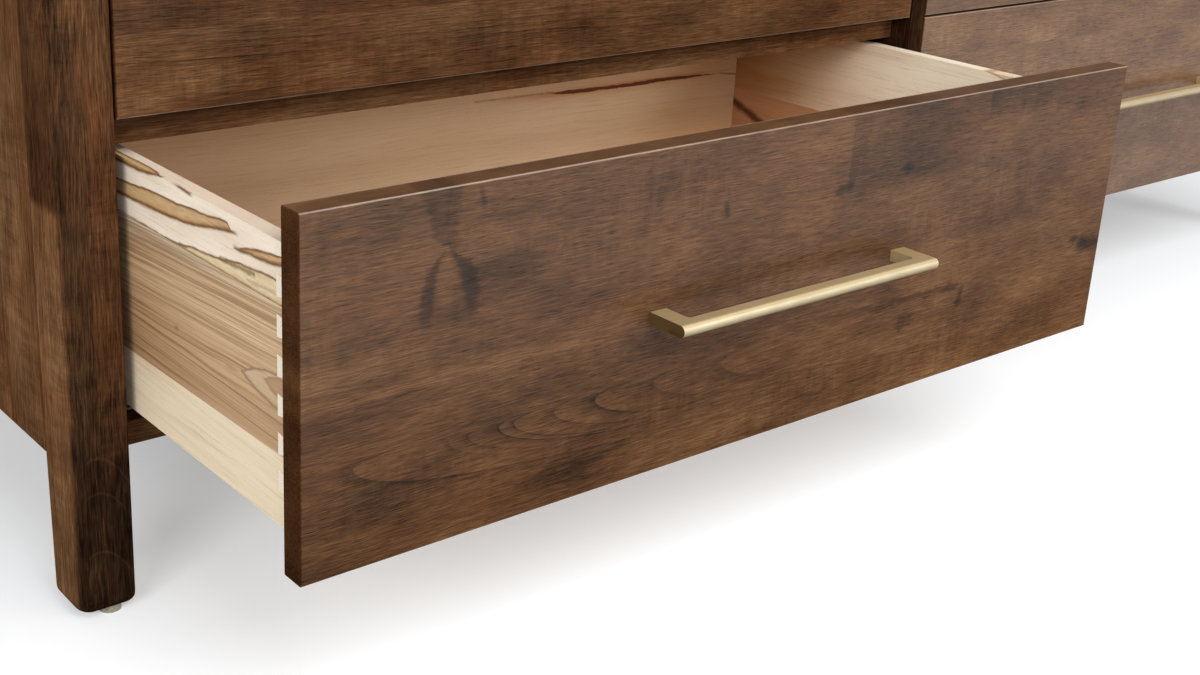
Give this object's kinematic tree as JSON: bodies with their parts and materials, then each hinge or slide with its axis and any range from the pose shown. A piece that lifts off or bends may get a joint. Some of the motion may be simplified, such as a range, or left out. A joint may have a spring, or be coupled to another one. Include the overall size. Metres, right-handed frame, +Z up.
{
  "type": "dresser",
  "caption": "Wide low dresser on corner-post legs, with stacked drawers side by side, slim bar pulls, dovetailed maple boxes and a set-back rail; a lower drawer stands partly open.",
  "frame": {"origin": "middle of the footprint on the floor, open drawer and pulls included", "axes": "+X to the right seen from the front, +Y from the fronts to the back, +Z up; drawers open along -Y"},
  "size_m": [1.676, 0.714, 0.839],
  "materials": {
    "walnut": "satin walnut stain on maple",
    "walnut_dark": "satin walnut stain on maple, darker pieces",
    "maple": "clear satin lacquer",
    "steel": "zinc plated",
    "brass": "brushed satin"
  },
  "bodies": {
    "case": {"top_panel": "walnut", "side_panel_left": "walnut", "side_panel_right": "walnut", "back_panel": "maple", "bottom_panel": "walnut_dark", "divider": "walnut_dark", "post_front_left": "walnut_dark", "post_front_right": "walnut_dark", "post_back_left": "walnut_dark", "post_back_right": "walnut_dark", "middle_rails": "walnut_dark", "top_rails": "walnut_dark", "runner_supports": "maple", "case_runners": "steel", "glides": "steel"},
    "drawer_bottom_left": {"front_bottom_left": "walnut", "box_front_bottom_left": "maple", "box_sides_bottom_left": "maple", "box_back_bottom_left": "maple", "box_bottom_bottom_left": "maple", "drawer_runners_bottom_left": "steel", "pull_bottom_left": "brass"},
    "drawer_bottom_right": {"front_bottom_right": "walnut", "box_front_bottom_right": "maple", "box_sides_bottom_right": "maple", "box_back_bottom_right": "maple", "box_bottom_bottom_right": "maple", "drawer_runners_bottom_right": "steel", "pull_bottom_right": "brass"},
    "drawer_middle_left": {"front_middle_left": "walnut", "box_front_middle_left": "maple", "box_sides_middle_left": "maple", "box_back_middle_left": "maple", "box_bottom_middle_left": "maple", "drawer_runners_middle_left": "steel", "pull_middle_left": "brass"},
    "drawer_middle_right": {"front_middle_right": "walnut", "box_front_middle_right": "maple", "box_sides_middle_right": "maple", "box_back_middle_right": "maple", "box_bottom_middle_right": "maple", "drawer_runners_middle_right": "steel", "pull_middle_right": "brass"},
    "drawer_top_left": {"front_top_left": "walnut", "box_front_top_left": "maple", "box_sides_top_left": "maple", "box_back_top_left": "maple", "box_bottom_top_left": "maple", "drawer_runners_top_left": "steel", "pull_top_left": "brass"},
    "drawer_top_right": {"front_top_right": "walnut", "box_front_top_right": "maple", "box_sides_top_right": "maple", "box_back_top_right": "maple", "box_bottom_top_right": "maple", "drawer_runners_top_right": "steel", "pull_top_right": "brass"}
  },
  "joints": [
    {"name": "drawer_bottom_left_slide", "type": "slide", "parent": "case", "child": "drawer_bottom_left", "axis": [0, -1, 0], "range_m": [-0.224, 0.076]},
    {"name": "drawer_bottom_right_slide", "type": "slide", "parent": "case", "child": "drawer_bottom_right", "axis": [0, -1, 0], "range_m": [0, 0.3]},
    {"name": "drawer_middle_left_slide", "type": "slide", "parent": "case", "child": "drawer_middle_left", "axis": [0, -1, 0], "range_m": [0, 0.3]},
    {"name": "drawer_middle_right_slide", "type": "slide", "parent": "case", "child": "drawer_middle_right", "axis": [0, -1, 0], "range_m": [0, 0.3]},
    {"name": "drawer_top_left_slide", "type": "slide", "parent": "case", "child": "drawer_top_left", "axis": [0, -1, 0], "range_m": [0, 0.3]},
    {"name": "drawer_top_right_slide", "type": "slide", "parent": "case", "child": "drawer_top_right", "axis": [0, -1, 0], "range_m": [0, 0.3]}
  ]
}
